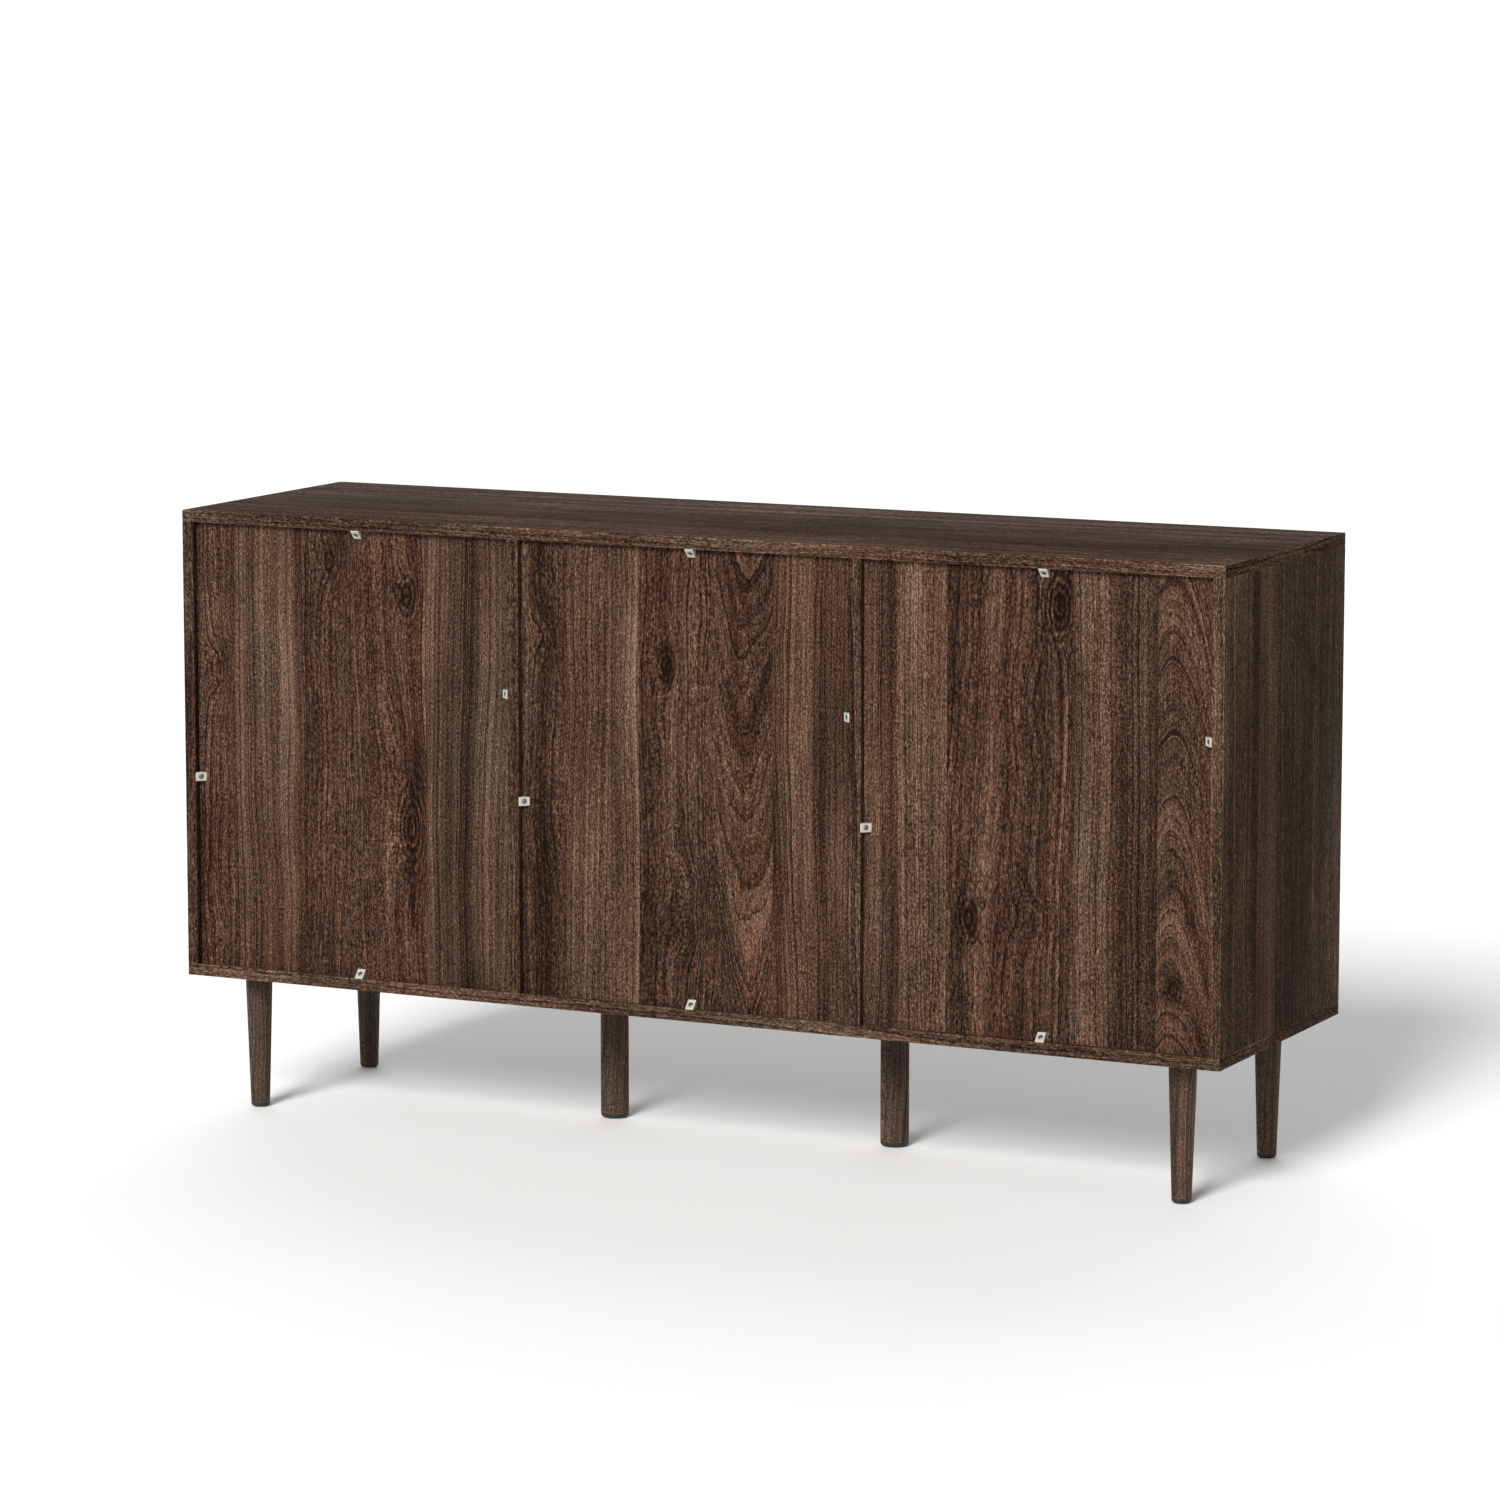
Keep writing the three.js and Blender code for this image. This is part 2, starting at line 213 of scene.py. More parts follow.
def ramp(tree, factor, stops, constant=False):
    """stops lists (position, colour)."""
    node = tree.nodes.new("ShaderNodeValToRGB")
    plug(tree, node.inputs[0], factor)
    band = node.color_ramp
    band.interpolation = "CONSTANT" if constant else "LINEAR"
    for index, (position, colour) in enumerate(stops):
        stop = band.elements[index] if index < 2 else band.elements.new(position)
        stop.position = position
        stop.color = colour
    return Flow(tree, node.outputs["Color"])


def channels(tree, colour):
    node = tree.nodes.new("ShaderNodeSeparateColor")
    plug(tree, node.inputs[0], colour)
    return [Flow(tree, socket) for socket in node.outputs]


def axes_of(tree, socket):
    node = tree.nodes.new("ShaderNodeSeparateXYZ")
    tree.links.new(socket, node.inputs[0])
    return [Flow(tree, socket) for socket in node.outputs]


def linear(red, green, blue):
    """A colour given as 0 to 255 screen values."""
    made = []
    for value in (red, green, blue):
        share = value / 255
        made.append(share / 12.92 if share <= 0.04045 else ((share + 0.055) / 1.055) ** 2.4)
    return (*made, 1.0)


def new_material(name):
    material = bpy.data.materials.new(name)
    material.use_nodes = True
    tree = material.node_tree
    shader = tree.nodes["Principled BSDF"]
    return material, tree, shader


# Walnut

HEART_REACH = 1.2  # how far a strip's heart may lie from the line x = 0 or y = 0
TAPER_REACH = 0.6  # the most that a strip's rings may lean
ROUND_REACH = 0.8  # the broadest turn that a strip's rings may have
RING_PITCH = 0.0058  # of the rings in a knot, along its short way
BOARD_GLOSS = 0.010
TOP_GLOSS = 0.001
LEG_GLOSS = 0.2
FIGURE_INPUTS = ("Across", "Depth", "Along", "Drift", "Heart", "Taper", "Round", "Wave", "Light",
                 "Red", "Seed", "Bend", "Core", "Wear")


def figure_group():
    """The walnut figure. Lengths are metres on the board, and a noise's factors are its cells per metre.

    The level lines of field are the growth rings, and those of grain are the run of the fibres.
    """
    group = bpy.data.node_groups.new("walnut_figure", "ShaderNodeTree")
    for name in FIGURE_INPUTS:
        group.interface.new_socket(name, in_out="INPUT", socket_type="NodeSocketFloat")
    group.interface.new_socket("Color", in_out="OUTPUT", socket_type="NodeSocketColor")
    group.interface.new_socket("Height", in_out="OUTPUT", socket_type="NodeSocketFloat")
    group.interface.new_socket("Roughness", in_out="OUTPUT", socket_type="NodeSocketFloat")
    entry = group.nodes.new("NodeGroupInput")
    leave = group.nodes.new("NodeGroupOutput")
    across, depth, along, drift, heart, taper, rounding, wave, light, red, seed, bend, core, wear = (
        Flow(group, entry.outputs[name]) for name in FIGURE_INPUTS)
    side = across + depth
    shift = seed * 37.0

    wobble = noise(group, vector(group, side * 48.0, shift, along * 15.0), roughness=0.6) - 0.5
    off = side - heart
    rings = (off * off).calc("DIVIDE", rounding * 2.0)
    sway = drift * (wave * 2.0 + 0.6) + wobble * (wave * 0.018 + 0.002)
    field = rings + taper * along + sway + bend
    grain = side + sway + bend * 0.4

    broad = line_noise(group, field * 40.0 + shift, detail=1.0)
    lines = line_noise(group, field * 210.0 + shift, detail=2.0, roughness=0.6)
    streaks = noise(group, vector(group, grain * 260.0, shift, along * 4.0), detail=3.0, roughness=0.6)
    flecks = noise(group, vector(group, grain * 560.0, shift, along * 280.0), detail=2.0, roughness=0.75)
    fibres = noise(group, vector(group, grain * 900.0, shift, along * 60.0), detail=1.0)
    pores = noise(group, vector(group, grain * 700.0, shift + 9.0, along * 70.0), detail=1.0)
    pore = spread(group, pores, 0.58, 0.72, smooth=True)
    saw = (field * 130.0 + lines * 2.0).calc("FRACT")
    late = spread(group, saw, 0.62, 0.97, smooth=True) * spread(group, saw, 1.0, 0.97)
    late_strength = spread(group, broad, 0.36, 0.62, 0.35, 1.0)
    patch = noise(group, vector(group, side * 11.0, shift, along * 3.4), detail=3.0, roughness=0.6)

    tone = (light
            + (patch - 0.5) * 0.67
            + (broad - 0.5) * 0.40
            + (lines - 0.5) * 0.42
            + (streaks - 0.5) * 0.45
            + (flecks - 0.5) * 1.75
            + (fibres - 0.5) * 0.55
            - late * late_strength * 0.36
            - pore * 0.24
            - core
            + wear * 0.22)
    colour = ramp(group, tone, [
        (0.0, linear(19, 13, 10)),
        (1.0, linear(126, 103, 88)),
        (0.25, linear(36, 25, 20)),
        (0.5, linear(63, 47, 38)),
        (0.75, linear(91, 71, 60)),
    ])
    hue = noise(group, vector(group, side * 17.0, shift + 5.0, along * 2.6), detail=3.0)
    ruddy = ((hue - 0.5) * 2.0 + red).calc("ADD", 0.0, clamp=True)
    cool = blend_colour(group, 1.0, colour, (0.93, 1.02, 0.96, 1.0), "MULTIPLY")
    warm = blend_colour(group, 1.0, colour, (1.09, 0.93, 0.86, 1.0), "MULTIPLY")
    colour = blend_colour(group, ruddy, cool, warm)
    height = flecks * 0.7 + fibres * 0.4 - pore * 0.8 - late * 0.3
    roughness = (flecks - 0.5) * 0.20 + pore * 0.14 - wear * 0.10 + 0.58
    group.links.new(colour.socket, leave.inputs["Color"])
    group.links.new(height.socket, leave.inputs["Height"])
    group.links.new(roughness.socket, leave.inputs["Roughness"])
    return group


FIGURE = figure_group()


def edge_distance(tree, point, low, high):
    """Distance in metres from a point on a board's face to the nearest edge of its box."""
    gaps = []
    for axis in range(3):
        to_high = calc(tree, "SUBTRACT", high[axis], point[axis])
        gaps.append((point[axis] - low[axis]).calc("MINIMUM", to_high))
    small = gaps[0].calc("MINIMUM", gaps[1])
    large = gaps[0].calc("MAXIMUM", gaps[1])
    return small.calc("MAXIMUM", large.calc("MINIMUM", gaps[2]))


def total(parts):
    """The sum of a list of Flows, or None for an empty list."""
    found = None
    for part in parts:
        found = part if found is None else found + part
    return found


def finish_walnut(tree, shader, values, gloss):
    """Joins the figure to a board's shader. values gives the group's inputs by name."""
    group = tree.nodes.new("ShaderNodeGroup")
    group.node_tree = FIGURE
    for key, value in values.items():
        plug(tree, group.inputs[key], value)
    tree.links.new(group.outputs["Color"], shader.inputs["Base Color"])
    tree.links.new(group.outputs["Roughness"], shader.inputs["Roughness"])
    shader.inputs["Specular IOR Level"].default_value = gloss
    bump = tree.nodes.new("ShaderNodeBump")
    bump.inputs["Strength"].default_value = 0.35
    bump.inputs["Distance"].default_value = 0.0003
    tree.links.new(group.outputs["Height"], bump.inputs["Height"])
    tree.links.new(bump.outputs["Normal"], shader.inputs["Normal"])


def walnut(name, node, along, across, strips, knots=(), stains=(), bands=(), seed=0.0,
           gloss=BOARD_GLOSS):
    """Walnut for one board. along and across are axis numbers, and places are metres in the frame.

    strips lists (start, heart, round, taper, wave, light, red), and a strip runs to the next one's start.
    round is how broadly the rings turn over the heart, and 0 means straight grain.
    A knot is (across, along, width, length, bend, darkness of its rings). A stain is
    (across, along, width, length, darkness). Both keep to their own strip.
    A band is (across, width, light), a soft streak along the whole board.
    """
    low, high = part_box(node)
    depth = 3 - along - across
    material, tree, shader = new_material(name)
    place = tree.nodes.new("ShaderNodeTexCoord")
    point = axes_of(tree, place.outputs["Object"])
    normal = axes_of(tree, place.outputs["Normal"])
    on_end = normal[along].calc("ABSOLUTE").calc("GREATER_THAN", 0.7)
    a = blend_number(tree, on_end, point[across], point[depth])
    b = blend_number(tree, on_end, point[depth], point[along]) - (low[depth] + high[depth]) / 2
    g = blend_number(tree, on_end, point[along], point[across])
    drift = (noise(tree, vector(tree, (a + b) * 8.0, seed * 11.0, g * 2.2), detail=2.0) - 0.5) * 0.05

    # The strips' values, as the channels of stepped colour ramps across the board
    start, end = low[across], high[across]
    share = spread(tree, a, start, end)
    first = []
    second = []
    waves = []
    for index, (edge, heart, rounding, taper, wave, shade, ruddy) in enumerate(strips):
        at = 0.0 if index == 0 else (edge - start) / (end - start)
        after = strips[index + 1][0] if index + 1 < len(strips) else end
        rounding = rounding or abs(heart - (max(edge, start) + after) / 2)
        first.append((at, (0.5 + heart / HEART_REACH / 2, rounding / ROUND_REACH,
                           0.5 + taper / TAPER_REACH / 2, 1.0)))
        second.append((at, (0.5 + shade, 0.5 + ruddy, (index * 0.37 + seed) % 1.0, 1.0)))
        waves.append((at, (wave, wave, wave, 1.0)))
    heart, rounding, taper = channels(tree, ramp(tree, share, first, constant=True))
    shade, ruddy, own_seed = channels(tree, ramp(tree, share, second, constant=True))
    wave = channels(tree, ramp(tree, share, waves, constant=True))[0]

    def own_strip(at):
        """1 on the strip that holds a place across the board, and 0 beside it."""
        edges = [strip[0] for strip in strips] + [end + 1.0]
        inside = [index for index in range(len(strips)) if edges[index] <= at or index == 0][-1]
        above = a.calc("GREATER_THAN", edges[inside] if inside else start - 1.0)
        return above * a.calc("LESS_THAN", edges[inside + 1])

    def hump(at_across, at_along, width, length, warp):
        """A soft round rise of 1 at a place, which the drift of the grain bends."""
        u = (a + drift * warp - at_across) * (1 / width)
        v = (g - at_along) * (1 / length)
        return (-(u * u + v * v)).calc("EXPONENT")

    ragged = noise(tree, vector(tree, a * 120.0, seed, g * 26.0), detail=3.0, roughness=0.65)
    crooked = drift * 110.0 + ragged * 3.0

    def rings(at_across, at_along, width, length):
        """The dark rings of a knot, which fade away from it."""
        u = (a + drift * 0.3 - at_across) * (1 / width)
        v = (g - at_along) * (1 / length)
        reach = (u * u + v * v).calc("SQRT")
        ridge = (reach * (width * 2 * math.pi / RING_PITCH) + crooked).calc("SINE") * 0.5 + 0.35
        return ridge * (-(reach * reach)).calc("EXPONENT")

    bends = [hump(*knot[:4], warp=0.3) * own_strip(knot[0]) * knot[4] for knot in knots]
    cores = [
        hump(*stain[:4], warp=0.3) * own_strip(stain[0]) * spread(tree, ragged, 0.3, 0.55) * stain[4]
        for stain in stains
    ]
    cores += [rings(*knot[:4]) * own_strip(knot[0]) * knot[5] for knot in knots if knot[5]]
    soft = [hump(at, 0.0, width, 1e3, warp=0.6) * light for at, width, light in bands]

    worn = spread(tree, edge_distance(tree, point, low, high), 0.0003, 0.0017, 1.0, 0.0, smooth=True)
    scuff = noise(tree, vector(tree, *point), scale=60.0, detail=3.0)
    finish_walnut(tree, shader, {
        "Across": a, "Depth": b, "Along": g, "Drift": drift,
        "Heart": (heart - 0.5) * (2 * HEART_REACH),
        "Taper": (taper - 0.5) * (2 * TAPER_REACH),
        "Round": rounding * ROUND_REACH,
        "Wave": wave, "Light": total([shade, *soft]), "Red": ruddy, "Seed": own_seed + seed,
        "Bend": total(bends), "Core": total(cores), "Wear": worn * scuff,
    }, gloss)
    return material


def walnut_for_legs():
    """Straight-grained solid walnut, whose grain runs up each leg."""
    material, tree, shader = new_material("walnut_legs")
    place = tree.nodes.new("ShaderNodeTexCoord")
    x, y, z = axes_of(tree, place.outputs["Object"])
    drift = (noise(tree, vector(tree, x * 9.0, y * 9.0, z * 4.0), detail=2.0) - 0.5) * 0.05
    foot = spread(tree, z, 0.006, 0.0085, 1.0, 0.0, smooth=True)
    finish_walnut(tree, shader, {
        "Across": x, "Depth": y, "Along": z, "Drift": drift, "Heart": -2.0, "Taper": 0.03,
        "Round": 2.0, "Wave": 0.05, "Light": 0.50, "Red": 0.42, "Seed": 0.27, "Wear": foot,
    }, LEG_GLOSS)
    return material


X, Y, Z = 0, 1, 2

# (strips, knots, stains, bands) of each back panel
BACK_FIGURE = {
    "right": (
        [
            (0.238, -0.10, 0, 0.01, 0.00, 0.04, -0.20),
            (0.362, -0.10, 0, -0.02, 0.12, 0.01, 0.20),
            (0.465, -0.05, 0, 0.02, 0.28, -0.03, 0.04),
            (0.540, 0.10, 0, 0.00, 0.04, 0.02, -0.02),
            (0.641, 0.20, 0, 0.00, 0.30, -0.02, 0.20),
        ],
        [
            (0.385, 0.388, 0.024, 0.060, 0.036, 0.48),
            (0.405, 0.480, 0.022, 0.070, 0.018, 0.20),
            (0.389, 0.682, 0.016, 0.034, 0.018, 0.42),
            (0.664, 0.570, 0.018, 0.046, 0.022, 0.18),
            (0.500, 0.720, 0.018, 0.040, 0.014, 0.30),
        ],
        [
            (0.385, 0.388, 0.009, 0.028, 0.40),
            (0.378, 0.455, 0.008, 0.050, 0.40),
            (0.386, 0.300, 0.008, 0.060, 0.36),
            (0.389, 0.682, 0.007, 0.018, 0.36),
            (0.392, 0.710, 0.014, 0.050, 0.14),
            (0.500, 0.722, 0.008, 0.018, 0.22),
            (0.684, 0.350, 0.018, 0.080, 0.16),
            (0.655, 0.585, 0.009, 0.022, 0.20),
            (0.412, 0.245, 0.010, 0.060, 0.16),
            (0.520, 0.480, 0.014, 0.150, 0.10),
        ],
        [
            (0.566, 0.017, 0.13),
            (0.302, 0.011, -0.17),
            (0.535, 0.010, -0.08),
            (0.258, 0.020, 0.04),
            (0.430, 0.020, 0.04),
        ],
    ),
    "middle": (
        [
            (-0.230, 0.20, 0, 0.01, 0.06, 0.01, 0.10),
            (-0.121, -0.082, 0.045, -0.20, 0.30, -0.03, 0.12),
            (-0.045, -0.40, 0, 0.02, 0.30, -0.03, 0.08),
            (0.062, -0.30, 0, 0.00, 0.02, 0.03, 0.04),
            (0.103, -0.28, 0, 0.02, 0.04, 0.01, -0.14),
            (0.163, -0.20, 0, 0.00, 0.34, -0.05, 0.14),
        ],
        [
            (0.025, 0.615, 0.017, 0.030, 0.018, 0.45),
            (0.000, 0.345, 0.028, 0.030, 0.020, 0.20),
            (0.000, 0.285, 0.024, 0.030, 0.020, 0.24),
            (0.190, 0.640, 0.018, 0.040, 0.020, 0.16),
        ],
        [
            (0.024, 0.615, 0.009, 0.018, 0.75),
            (0.022, 0.680, 0.012, 0.060, 0.16),
            (-0.070, 0.620, 0.012, 0.050, 0.14),
            (0.010, 0.290, 0.020, 0.040, 0.12),
            (0.196, 0.450, 0.018, 0.080, 0.10),
        ],
        [
            (0.083, 0.022, 0.05),
            (-0.180, 0.010, -0.13),
            (-0.150, 0.012, 0.06),
            (0.050, 0.012, -0.07),
            (-0.125, 0.010, -0.05),
        ],
    ),
    "left": (
        [
            (-0.700, -0.640, 0.026, 0.40, 0.10, 0.02, 0.06),
            (-0.625, -0.10, 0, 0.01, 0.05, 0.00, -0.10),
            (-0.515, -0.20, 0, -0.03, 0.22, -0.05, 0.06),
            (-0.352, 0.05, 0, 0.00, 0.02, 0.05, 0.08),
            (-0.295, 0.10, 0, 0.00, 0.02, 0.01, -0.10),
        ],
        [
            (-0.499, 0.715, 0.024, 0.052, 0.036, 0.48),
            (-0.379, 0.333, 0.018, 0.036, 0.020, 0.42),
            (-0.455, 0.340, 0.030, 0.034, -0.022, 0.22),
            (-0.470, 0.600, 0.030, 0.060, 0.018, 0.12),
            (-0.645, 0.268, 0.014, 0.018, 0.008, 0.25),
        ],
        [
            (-0.499, 0.715, 0.010, 0.026, 0.40),
            (-0.379, 0.333, 0.011, 0.026, 0.60),
            (-0.645, 0.268, 0.008, 0.014, 0.40),
            (-0.503, 0.640, 0.012, 0.045, 0.20),
            (-0.440, 0.370, 0.018, 0.070, 0.12),
            (-0.500, 0.300, 0.010, 0.070, 0.12),
        ],
        [
            (-0.300, 0.014, 0.05),
            (-0.580, 0.010, -0.14),
            (-0.545, 0.014, 0.05),
            (-0.362, 0.008, -0.06),
            (-0.400, 0.018, 0.05),
        ],
    ),
}


def plain_strips(low, high, count, seed, straight):
    """Straight-grained strips of uneven width. Unless straight is set, one of them is flat-sawn."""
    made = []
    width = (high - low) / count
    for index in range(count):
        turn = math.sin(seed * 12.9 + index * 4.7)
        start = low + index * width + (0.25 * width * turn if index else 0.0)
        flat_sawn = index == int(seed * 10) % count and not straight
        heart = start + 0.5 * width if flat_sawn else start + 0.35 * (1 if turn > 0 else -1)
        made.append((
            start,
            heart,
            0.030 if flat_sawn else 0,
            0.30 if flat_sawn else 0.02 * turn,
            0.05 + 0.25 * (0.5 + 0.5 * math.sin(seed * 5.3 + index * 2.9)) ** 3,
            0.08 * math.sin(seed * 7.1 + index * 2.3) - 0.03,
            0.16 * math.sin(seed * 3.3 + index * 3.9) - (0.16 if straight else 0.0),
        ))
    return made


def dress(node, material):
    for slot in frame["nodes"][node].material_slots:
        slot.material = material


def dress_boards():
    for bay in BAYS:
        node = f"back_panel_{bay}"
        seed = BAYS.index(bay) * 0.31 + 0.11
        dress(node, walnut(f"walnut_{node}", node, Z, X, *BACK_FIGURE[bay], seed=seed))
    boards = [("top_board", X, Y, 4, 0.13), ("bottom_board", X, Y, 3, 0.57)]
    boards += [(f"side_panel_{side}", Z, Y, 4, seed) for side, seed in (("left", 0.32), ("right", 0.71))]
    boards += [(f"divider_{side}", Z, Y, 4, seed) for side, seed in (("left", 0.45), ("right", 0.83))]
    boards += [(f"shelf_{bay}", X, Y, 4, 0.21 + 0.17 * BAYS.index(bay)) for bay in BAYS]
    boards += [(f"door_{bay}", Z, X, 5, 0.12 + 0.19 * BAYS.index(bay)) for bay in BAYS]
    for node, along, across, count, seed in boards:
        low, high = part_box(node)
        straight = not node.startswith(("door", "shelf"))
        strips = plain_strips(low[across], high[across], count, seed, straight)
        gloss = TOP_GLOSS if node == "top_board" else BOARD_GLOSS
        dress(node, walnut(f"walnut_{node}", node, along, across, strips, seed=seed, gloss=gloss))


# Plastics and metals

def speckled(name, dark, pale, roughness, grain, metallic=0.0, gloss=0.5, bump_depth=0.0001,
             stretch=(1, 1, 1)):
    """A moulded, coated or brushed finish: tone, roughness and bump all vary with a fine grain."""
    material, tree, shader = new_material(name)
    place = tree.nodes.new("ShaderNodeTexCoord")
    point = [axis * factor for axis, factor in zip(axes_of(tree, place.outputs["Object"]), stretch)]
    fine = noise(tree, vector(tree, *point), scale=grain, detail=3.0, roughness=0.6)
    cloud = noise(tree, vector(tree, *point), scale=grain * 0.04, detail=2.0)
    tone = (fine - 0.5) * 0.9 + (cloud - 0.5) * 0.8 + 0.5
    colour = blend_colour(tree, tone.calc("ADD", 0.0, clamp=True), dark, pale)
    tree.links.new(colour.socket, shader.inputs["Base Color"])
    worn = (fine - 0.5) * 0.24 + (cloud - 0.5) * 0.16 + roughness
    tree.links.new(worn.socket, shader.inputs["Roughness"])
    shader.inputs["Metallic"].default_value = metallic
    shader.inputs["Specular IOR Level"].default_value = gloss
    bump = tree.nodes.new("ShaderNodeBump")
    bump.inputs["Strength"].default_value = 0.4
    bump.inputs["Distance"].default_value = bump_depth
    tree.links.new(fine.socket, bump.inputs["Height"])
    tree.links.new(bump.outputs["Normal"], shader.inputs["Normal"])
    return material


LEG_WALNUT = walnut_for_legs()
PALE_PLASTIC = speckled("pale_plastic", linear(150, 147, 138), linear(176, 174, 166), 0.45, 900.0)
BLACK_PLASTIC = speckled("black_plastic", linear(11, 11, 11), linear(24, 24, 23), 0.55, 1400.0)
BROWN_PLASTIC = speckled("brown_plastic", linear(40, 28, 21), linear(58, 42, 33), 0.5, 1100.0)
BLACK_METAL = speckled("black_coating", linear(14, 14, 14), linear(30, 29, 28), 0.42, 2200.0,
                       metallic=0.3, bump_depth=0.0002)
STEEL = speckled("satin_steel", linear(118, 117, 113), linear(168, 167, 162), 0.34, 2600.0,
                 metallic=1.0, stretch=(1, 1, 0.15))
SCREW_STEEL = speckled("screw_steel", linear(92, 91, 88), linear(140, 138, 133), 0.4, 1800.0,
                       metallic=1.0)


# Shape helpers

SHARP_ANGLE = 35  # degrees between faces, above which a CAD node's edge is eased and stays sharp
PIECE_SHARP_ANGLE = 38  # and above which a piece's edge stays sharp

def geometry_group(name):
    group = bpy.data.node_groups.new(name, "GeometryNodeTree")
    group.interface.new_socket("Geometry", in_out="INPUT", socket_type="NodeSocketGeometry")
    group.interface.new_socket("Geometry", in_out="OUTPUT", socket_type="NodeSocketGeometry")
    return group, group.nodes.new("NodeGroupInput"), group.nodes.new("NodeGroupOutput")


def weld_group():
    """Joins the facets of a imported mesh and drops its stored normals, so that edges can be eased."""
    group, entry, leave = geometry_group("weld_facets")
    merge = group.nodes.new("GeometryNodeMergeByDistance")
    merge.inputs["Distance"].default_value = 1e-6
    strip = group.nodes.new("GeometryNodeRemoveAttribute")
    strip.inputs["Name"].default_value = "custom_normal"
    group.links.new(entry.outputs[0], merge.inputs["Geometry"])
    group.links.new(merge.outputs["Geometry"], strip.inputs["Geometry"])
    group.links.new(strip.outputs["Geometry"], leave.inputs[0])
    return group


def shade_group(degrees):
    """Smooth shading, apart from edges that are sharper than the angle."""
    group, entry, leave = geometry_group("shade_by_angle")
    angle = group.nodes.new("GeometryNodeInputMeshEdgeAngle")
    compare = group.nodes.new("FunctionNodeCompare")
    compare.operation = "LESS_EQUAL"
    compare.inputs[1].default_value = math.radians(degrees)
    edges = group.nodes.new("GeometryNodeSetShadeSmooth")
    edges.domain = "EDGE"
    faces = group.nodes.new("GeometryNodeSetShadeSmooth")
    group.links.new(entry.outputs[0], edges.inputs["Geometry"])
    group.links.new(angle.outputs["Unsigned Angle"], compare.inputs[0])
    group.links.new(compare.outputs[0], edges.inputs["Shade Smooth"])
    group.links.new(edges.outputs["Geometry"], faces.inputs["Geometry"])
    group.links.new(faces.outputs["Geometry"], leave.inputs[0])
    return group


WELD = weld_group()
SHADE = shade_group(SHARP_ANGLE)


def ease(node, width, segments):
    """Smooths a CAD node's round faces and eases its edges, with modifiers only.

    A width of 0 leaves the edges sharp.
    """
    piece = frame["nodes"][node]
    piece.modifiers.new("weld", "NODES").node_group = WELD
    if width:
        flat = piece.modifiers.new("flat", "DECIMATE")
        flat.decimate_type = "DISSOLVE"
        flat.angle_limit = math.radians(0.5)
        bevel = piece.modifiers.new("ease", "BEVEL")
        bevel.width = width
        bevel.segments = segments
        bevel.limit_method = "ANGLE"
        bevel.angle_limit = math.radians(SHARP_ANGLE)
    piece.modifiers.new("shade", "NODES").node_group = SHADE


def pointing(place, direction):
    """The matrix that takes the +Z axis at the origin to a direction at a place."""
    turn = Vector(direction).to_track_quat("Z", "Y").to_matrix().to_4x4()
    return Matrix.Translation(place) @ turn


def lathe(form, profile, segments, matrix):
    """Turns (radius, height) points about +Z, closed at both ends by points on the axis."""
    rings = []
    for radius, height in profile:
        if radius < 1e-9:
            rings.append([form.verts.new(matrix @ Vector((0, 0, height)))])
            continue
        ring = []
        for index in range(segments):
            angle = 2 * math.pi * index / segments
            place = Vector((radius * math.cos(angle), radius * math.sin(angle), height))
            ring.append(form.verts.new(matrix @ place))
        rings.append(ring)
    for lower, upper in zip(rings, rings[1:]):
        for index in range(segments):
            after = (index + 1) % segments
            corners = [lower[index % len(lower)], lower[after % len(lower)],
                       upper[after % len(upper)], upper[index % len(upper)]]
            face = []
            for corner in corners:
                if corner not in face:
                    face.append(corner)
            form.faces.new(face)


def bent(start, control, end, steps):
    """Points of a quadratic curve after its start."""
    made = []
    for index in range(1, steps + 1):
        t = index / steps
        made.append(tuple((1 - t) ** 2 * s + 2 * t * (1 - t) * c + t * t * e
                          for s, c, e in zip(start, control, end)))
    return made


def add_piece(name, form, body, material):
    """Makes a bmesh in the row frame into a piece that rides on a body."""
    bmesh.ops.recalc_face_normals(form, faces=form.faces)
    mesh = bpy.data.meshes.new(name)
    form.to_mesh(mesh)
    form.free()
    mesh.materials.append(material)
    mesh.shade_smooth()
    mesh.set_sharp_from_angle(angle=math.radians(PIECE_SHARP_ANGLE))
    piece = bpy.data.objects.new(name, mesh)
    bpy.context.scene.collection.objects.link(piece)
    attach(piece, body)
    return piece


def add_box(form, low, high, matrix=Matrix.Identity(4)):
    size = [h - l for l, h in zip(low, high)]
    middle = [(h + l) / 2 for l, h in zip(low, high)]
    place = matrix @ Matrix.Translation(middle) @ Matrix.Diagonal((*size, 1.0))
    bmesh.ops.create_cube(form, size=1.0, matrix=place)


SCREW_STEPS = 28
FLAT_HEAD_DEPTH = 0.0004
CLIP_SCREW = (0.0029, 0.0014)  # radius and rise of the head, as for the other screws
HINGE_SCREW = (0.0027, 0.00005)
CATCH_SCREW = (0.0028, 0.0014)
STRIKE_SCREW = (0.0027, 0.00005)
KNOB_SCREW = (0.0036, 0.0018)


